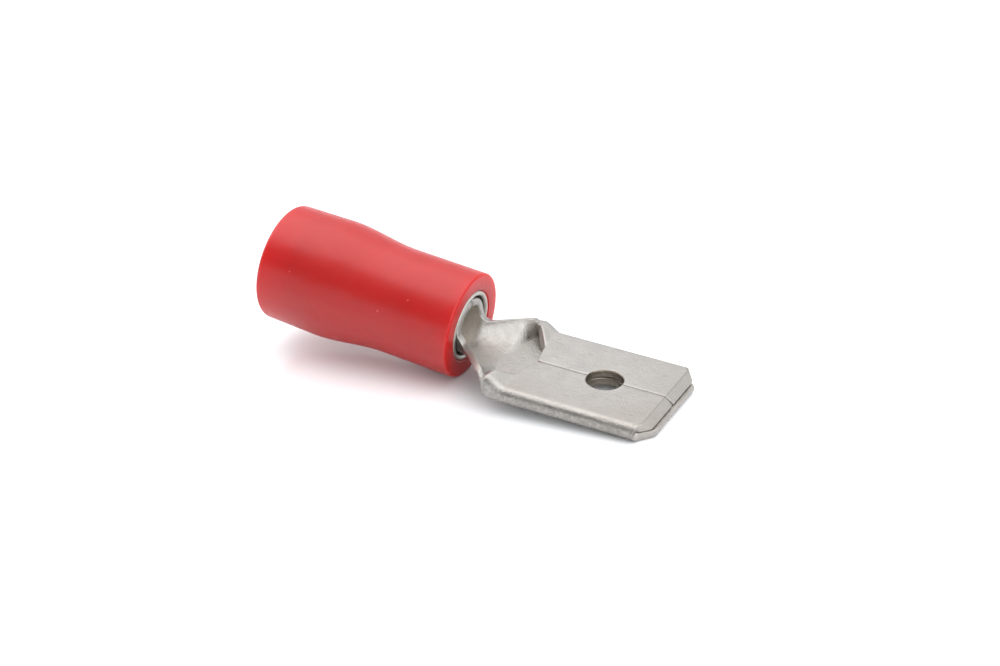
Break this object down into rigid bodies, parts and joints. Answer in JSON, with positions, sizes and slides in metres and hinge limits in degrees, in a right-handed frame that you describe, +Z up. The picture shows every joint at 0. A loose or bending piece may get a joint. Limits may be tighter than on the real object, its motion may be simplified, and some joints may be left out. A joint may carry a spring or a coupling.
{
  "type": "male spade terminal",
  "caption": "Insulated male spade terminal: folded tinned tab with a detent hole and centre seam, open trough neck, rolled crimp barrel, support sleeve and flared red sleeve.",
  "frame": {"origin": "on the surface that the terminal lies on, under the middle of its box", "axes": "+X towards the tip of the tab, +Z up from the surface, the seam lies in the XZ plane"},
  "size_m": [0.0206, 0.0064, 0.0068],
  "materials": {
    "tinned_sheet": "satin tin plate",
    "tinned_tube": "bright tin plate",
    "red_vinyl": "soft satin"
  },
  "bodies": {
    "root": {"terminal": "tinned_sheet", "support_sleeve": "tinned_tube", "insulating_sleeve": "red_vinyl"}
  },
  "joints": []
}
